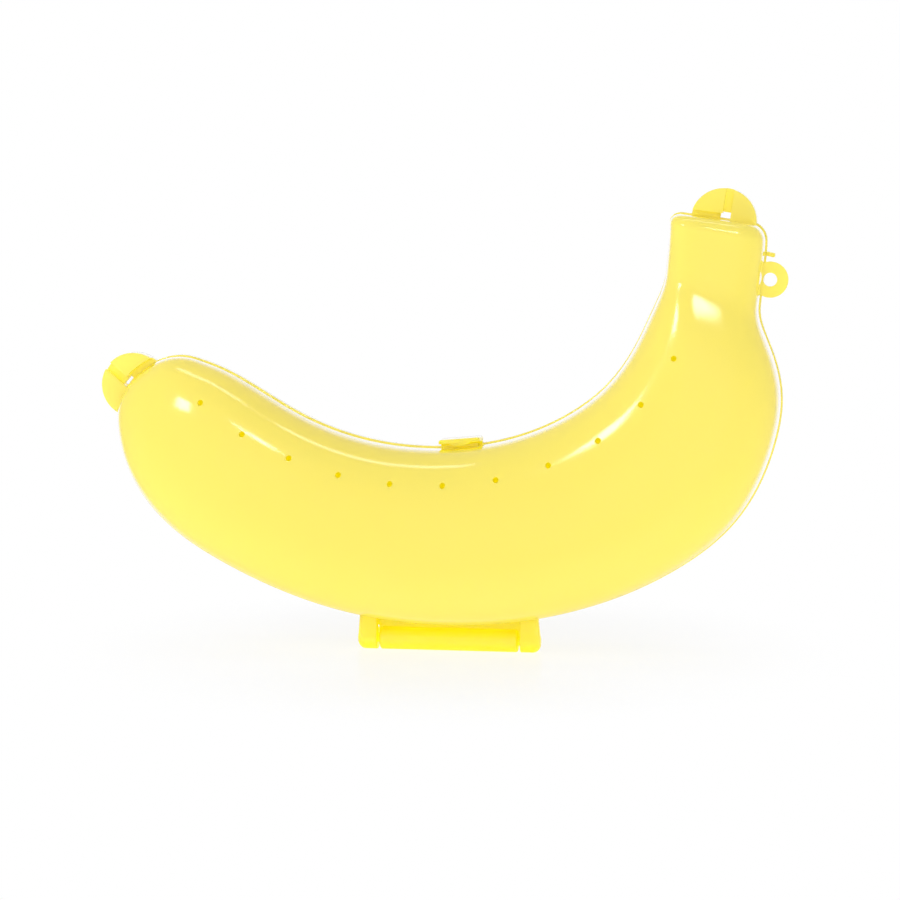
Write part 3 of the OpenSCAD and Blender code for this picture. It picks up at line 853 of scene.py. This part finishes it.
class CASE_OT_latch(bpy.types.Operator):
    """Model the snap latch: the tongue with its hook on the back half and the catch on the front half"""

    bl_idname = "banana_case.latch"
    bl_label = "Latch"

    def execute(self, context):
        s, _, tabs, _ = settings()
        place = (at_bend(tabs.latch_angle, rims(tabs.latch_angle)[0])
                 @ Matrix.Rotation(tabs.latch_lean, 4, "Y"))
        catch_front = -s.seam - tabs.layer
        hook_back = catch_front - tabs.latch_gap
        hook_front = hook_back - tabs.hook_t
        bridge_low = tabs.tongue_h - tabs.tongue_t
        nose_low = tabs.catch_h / 2

        tongue = tongue_slab("latch_tongue_moulding", -FOOT, 0, tabs.layer, place)
        seated(tongue, s.bead)
        combine(tongue, tongue_slab("bridge", bridge_low, hook_front, tabs.layer, place), "UNION")
        nose = tabs.nose_w / 2
        root = tabs.root_w / 2
        outline = [(-root, bridge_low), (-nose, nose_low), (nose, nose_low), (root, bridge_low)]
        combine(tongue, prism("hook", outline, hook_front, hook_back, place), "UNION")
        finish_piece(soften(tongue, LATCH_EDGE * tabs.edge), "back_half", "latch_tongue", thick=True)

        catch = block("latch_catch_moulding", (-tabs.catch_w / 2, catch_front, -FOOT),
                      (tabs.catch_w / 2, -s.seam, tabs.catch_h), place)
        seated(catch)
        finish_piece(soften(catch, LATCH_EDGE * tabs.edge), "front_half", "latch_catch", thick=True)
        return {"FINISHED"}


class CASE_OT_lanyard_ring(bpy.types.Operator):
    """Model the lanyard ring beside the stem and the short peg above it"""

    bl_idname = "banana_case.lanyard_ring"
    bl_label = "Lanyard Ring"

    def execute(self, context):
        s, _, tabs, _ = settings()
        place = at_bend(tabs.ring_angle, rims(tabs.ring_angle)[1] + tabs.ring_wall + tabs.ring_hole_r)
        ring = disc("lanyard_ring_moulding", tabs.ring_r, -s.seam - tabs.layer, -s.seam, place)
        combine(ring, disc("hole", tabs.ring_hole_r, -s.belly_d, s.belly_d, place), "DIFFERENCE")
        seated(ring)
        finish_piece(soften(ring, RING_EDGE * tabs.edge, RING_STEPS), "front_half", "lanyard_ring")

        place = at_bend(tabs.peg_angle, rims(tabs.peg_angle)[1] + s.bead)
        peg = block("side_peg_moulding", (-tabs.peg_t / 2, 0, -tabs.peg_len),
                    (tabs.peg_t / 2, tabs.layer, s.bead + s.wall), place)
        seated(peg, s.bead)
        finish_piece(soften(peg, tabs.edge), "back_half", "side_peg")
        return {"FINISHED"}


# Materials

class Socket:
    """A node's output, so that shader maths reads as Python expressions."""

    def __init__(self, tree, link):
        self.tree = tree
        self.link = link

    def make(self, kind, settings=None, inputs=None, output=0):
        """Any node: its type, its settings, then the values or links of its sockets."""
        node = self.tree.nodes.new(kind)
        for key, value in (settings or {}).items():
            setattr(node, key, value)
        for key, value in (inputs or {}).items():
            if isinstance(value, Socket):
                self.tree.links.new(value.link, node.inputs[key])
            else:
                node.inputs[key].default_value = value
        return Socket(self.tree, node.outputs[output])

    def math(self, operation, first, second):
        return self.make("ShaderNodeMath", {"operation": operation}, {0: first, 1: second})

    def __add__(self, other):
        return self.math("ADD", self, other)

    __radd__ = __add__

    def __sub__(self, other):
        return self.math("SUBTRACT", self, other)

    def __rsub__(self, other):
        return self.math("SUBTRACT", other, self)

    def __mul__(self, other):
        return self.math("MULTIPLY", self, other)

    __rmul__ = __mul__

    def mixed(self, first, second):
        """The first colour where this value is 0, the second where it is 1, and a mix between."""
        return self.make("ShaderNodeMix", {"data_type": "RGBA"}, {0: self, 6: first, 7: second}, 2)

    def eased(self, low, high, start=0.0, end=1.0):
        """A smooth step from start, where this value is low, to end, where it is high."""
        return self.make("ShaderNodeMapRange", {"interpolation_type": "SMOOTHSTEP"},
                         {"Value": self, "From Min": low, "From Max": high, "To Min": start, "To Max": end})

    def noise(self, scale, detail, roughness, distortion=0.0):
        """Noise over the points that this socket gives."""
        return self.make("ShaderNodeTexNoise", None, {"Vector": self, "Scale": scale, "Detail": detail,
                                                      "Roughness": roughness, "Distortion": distortion})


def material(name):
    """A new node material: its tree, its main shader node and a socket to write expressions from."""
    made = bpy.data.materials.new(name)
    made.use_nodes = True
    tree = made.node_tree
    shader = tree.nodes["Principled BSDF"]
    place = tree.nodes.new("ShaderNodeTexCoord")
    return made, tree, shader, Socket(tree, place.outputs["Object"])


# Openness, from ambient occlusion, over which the painted shade in corners goes from the deep colour to the
# plain one, in walls and in thick plastic
WALL_OPEN, SOLID_OPEN = (0.02, 0.3), (0.35, 1.0)

# Openness, from ambient occlusion, up to which the thick plastic glows with painted light in a recess,
# standing in for light passed on through the plastic
PAINTED_GLOW_OPEN = (0.0, 0.3)

# Slant of the view over which a white gloss takes over, and the most of the surface that it takes
GLANCE, GLANCE_MOST = (0.61, 0.86), 0.92

# Height of the normal over which that gloss comes in, so that undersides have none
UPPER = (-0.9, -0.3)

# Roughness of the clearest gloss, and what the haze adds to it at most
GLOSS, HAZE = 0.1, 0.07


def plastic(thick=False):
    """Glossy plastic that lets light through, with painted shade that deepens its colour in corners, a
    painted glow in the thick plastic's recesses, and white gloss at a slanting view.
    """
    name = "solid_yellow" if thick else "moulded_yellow"
    if name in bpy.data.materials:
        return bpy.data.materials[name]
    studio = settings()[3]
    tones = (studio.solid_flow, studio.plastic_solid) if thick else (studio.plastic_flow, studio.plastic)
    made, tree, shader, place = material(name)
    flow = place.noise(scale=26, detail=3, roughness=0.55, distortion=1.2)
    haze = place.noise(scale=160, detail=4, roughness=0.6)
    ripple = place.noise(scale=900, detail=2, roughness=0.5)
    # Painted shade: where ambient occlusion finds the plastic enclosed, lit falls and the colour is mixed
    # toward the deep colour
    open_sky = place.make("ShaderNodeAmbientOcclusion", {"samples": 4},
                          {"Distance": studio.painted_shade_reach}, "AO")
    lit = open_sky.eased(*(SOLID_OPEN if thick else WALL_OPEN))
    tone = lit.mixed((*studio.painted_corner_colour, 1), flow.mixed(*((*tone, 1) for tone in tones)))
    tree.links.new(tone.link, shader.inputs["Base Color"])
    gloss = GLOSS + HAZE * haze
    tree.links.new(gloss.link, shader.inputs["Roughness"])
    bump = place.make("ShaderNodeBump", None, {"Strength": 0.03, "Distance": 0.2 * MM, "Height": ripple})
    tree.links.new(bump.link, shader.inputs["Normal"])
    constants = {"IOR": 1.49, "Specular IOR Level": 0.85}
    if thick:
        constants |= {"Subsurface Weight": 0.6, "Subsurface Radius": (1.0, 0.8, 0.15),
                      "Subsurface Scale": 2 * MM, "Emission Strength": studio.painted_recess_glow}
        # Painted light: emission in the deep colour where the thick plastic is enclosed, none on back faces;
        # it glows though no lamp is there
        inner_side = place.make("ShaderNodeNewGeometry", None, None, "Backfacing")
        recess = open_sky.eased(*PAINTED_GLOW_OPEN) + inner_side
        painted_glow = recess.mixed((*studio.painted_corner_colour, 1), (0, 0, 0, 1))
        tree.links.new(painted_glow.link, shader.inputs["Emission Color"])
    for key, value in constants.items():
        shader.inputs[key].default_value = value

    glow = place.make("ShaderNodeBsdfTranslucent", None, {"Color": (*studio.glow, 1)})
    share = studio.solid_pass if thick else studio.wall_pass
    body = place.make("ShaderNodeMixShader", None,
                      {0: share, 1: Socket(tree, shader.outputs["BSDF"]), 2: glow})
    facing = place.make("ShaderNodeLayerWeight", None, {"Blend": 0.5}, "Facing")
    glance = facing.eased(*GLANCE, 0.0, GLANCE_MOST)
    normal = Socket(tree, tree.nodes["Texture Coordinate"].outputs["Normal"])
    upper = place.make("ShaderNodeSeparateXYZ", None, {0: normal}, "Z").eased(*UPPER)
    hollow = place.make("ShaderNodeAttribute", {"attribute_name": "hollow"}, None, "Fac")
    polish = place.make("ShaderNodeBsdfAnisotropic", None, {"Color": (1, 1, 1, 1), "Roughness": 0.08})
    # The white gloss is held back in corners by the same painted-shade mask, and on undersides and inner
    # faces
    whole = place.make("ShaderNodeMixShader", None,
                       {0: glance * upper * lit * (1 - hollow), 1: body, 2: polish})
    tree.links.new(whole.link, tree.nodes["Material Output"].inputs["Surface"])
    return made


def floor_material():
    """Pale polished floor that fades out toward its edge."""
    studio = settings()[3]
    made, tree, shader, place = material("pale_floor")
    shader.inputs["Base Color"].default_value = (*studio.floor, 1)
    shader.inputs["Roughness"].default_value = 0.25
    shader.inputs["Specular IOR Level"].default_value = 0.3
    away = place.make("ShaderNodeVectorMath", {"operation": "LENGTH"}, {0: place}, 1)
    fade = away.eased(studio.floor_near, studio.floor_far, studio.floor_alpha, 0.0)
    tree.links.new(fade.link, shader.inputs["Alpha"])
    return made


# The studio

# Each lamp's degrees to the right of the front and above the horizon, its distance and its size in metres,
# its watts and whether it shows in the gloss
LAMPS = {
    "left_softbox": (-39, 32.3, 0.5, (0.095, 0.095), 0.5, True),
    "right_softbox": (17, 41, 1.1, (0.3, 0.085), 1.6, True),
    "front_fill": (9, 4, 1.5, (1, 1), 6.6, False),
    "right_fill": (99, 4, 1.5, (1, 1), 8.5, False),
    "back_fill": (189, 4, 1.5, (1, 1), 9.5, False),
    "left_fill": (279, 4, 1.5, (1, 1), 8.5, False),
    "low_fill": (9, -48, 1.5, (1, 1), 7, False),
    "floor_fill": (9, -80, 1.5, (1, 1), 12, False),
    "overhead_softbox": (180, 84.5, 1.0, (0.62, 0.12), 1.24, True),
}

# Steps around the floor, and the distance from which the camera sees
FLOOR_STEPS = 64
CAMERA_NEAR = 0.01


def set_up(data, target, azimuth, elevation, distance):
    """Stands a lamp or camera at an angle to the right of the front and above the horizon, facing a point."""
    away = Vector((math.sin(azimuth) * math.cos(elevation), -math.cos(azimuth) * math.cos(elevation),
                   math.sin(elevation)))
    item = bpy.data.objects.new(data.name, data)
    item.location = target + away * distance
    item.rotation_euler = away.to_track_quat("Z", "Y").to_euler()
    bpy.context.scene.collection.objects.link(item)
    return item


def softbox(name, target, azimuth, elevation, distance, size, power, mirrored):
    """A rectangular lamp, as in the table above."""
    data = bpy.data.lights.new(name, "AREA")
    data.shape = "RECTANGLE"
    data.size, data.size_y = size
    data.energy = power
    lamp = set_up(data, target, math.radians(azimuth), math.radians(elevation), distance)
    lamp.visible_glossy = mirrored


class CASE_OT_stage(bpy.types.Operator):
    """Set up the pale floor, the soft studio light and the camera"""

    bl_idname = "banana_case.stage"
    bl_label = "Stage"

    def execute(self, context):
        scene = context.scene
        studio = settings()[3]
        target = Vector((0, 0, studio.camera_height))

        turns = full_turn(FLOOR_STEPS)
        edge = [(studio.floor_r * math.cos(t), studio.floor_r * math.sin(t), 0) for t in turns]
        mesh = bpy.data.meshes.new("floor")
        mesh.from_pydata(edge, [], [range(FLOOR_STEPS)])
        floor = bpy.data.objects.new("floor", mesh)
        scene.collection.objects.link(floor)
        mesh.materials.append(floor_material())

        world = scene.world or bpy.data.worlds.new("studio")
        scene.world = world
        world.use_nodes = True
        tree = world.node_tree
        tree.nodes.clear()
        path = tree.nodes.new("ShaderNodeLightPath")
        seen = Socket(tree, path.outputs["Is Camera Ray"])
        mirrored = Socket(tree, path.outputs["Is Glossy Ray"])
        through = Socket(tree, path.outputs["Is Transmission Ray"])
        shown = seen.math("MAXIMUM", seen, mirrored.math("MAXIMUM", mirrored, through))
        strength = shown * (1 - studio.sky) + studio.sky
        sky = seen.make("ShaderNodeBackground", None, {"Color": (1, 1, 1, 1), "Strength": strength})
        out = tree.nodes.new("ShaderNodeOutputWorld")
        tree.links.new(sky.link, out.inputs["Surface"])

        for name, lamp in LAMPS.items():
            softbox(name, target, *lamp)

        data = bpy.data.cameras.new("camera")
        data.sensor_width = studio.sensor
        data.lens = studio.lens
        data.shift_x = studio.shift_x
        data.shift_y = studio.shift_y
        data.clip_start = CAMERA_NEAR
        scene.camera = set_up(data, target, studio.camera_azimuth, studio.camera_elevation,
                              studio.camera_distance)
        scene.view_settings.view_transform = "Standard"
        return {"FINISHED"}


class CASE_PT_panel(bpy.types.Panel):
    """The case's sizes and the buttons that model it"""

    bl_label = "Banana Case"
    bl_idname = "CASE_PT_panel"
    bl_space_type = "VIEW_3D"
    bl_region_type = "UI"
    bl_category = "Banana Case"

    def draw(self, context):
        for group in settings():
            box = self.layout.box()
            for key in group.__annotations__:
                box.prop(group, key)
        for operator in OPERATORS:
            self.layout.operator(operator.bl_idname)


GROUPS = {
    "case_shell": ShellSizes, "case_hinge": HingeSizes, "case_tabs": TabSizes, "case_studio": StudioSettings,
}
OPERATORS = (
    CASE_OT_stage, CASE_OT_back_shell, CASE_OT_front_shell, CASE_OT_hinge, CASE_OT_finger_tabs, CASE_OT_latch,
    CASE_OT_lanyard_ring,
)


def register():
    for key, group in GROUPS.items():
        bpy.utils.register_class(group)
        setattr(bpy.types.Scene, key, PointerProperty(type=group))
    for cls in (*OPERATORS, CASE_PT_panel):
        bpy.utils.register_class(cls)


def unregister():
    for cls in (CASE_PT_panel, *reversed(OPERATORS)):
        bpy.utils.unregister_class(cls)
    for key, group in reversed(GROUPS.items()):
        delattr(bpy.types.Scene, key)
        bpy.utils.unregister_class(group)


def main():
    register()
    for name in ("stage", "back_shell", "front_shell", "hinge", "finger_tabs", "latch", "lanyard_ring"):
        getattr(bpy.ops.banana_case, name)()


if __name__ == "__main__":
    main()
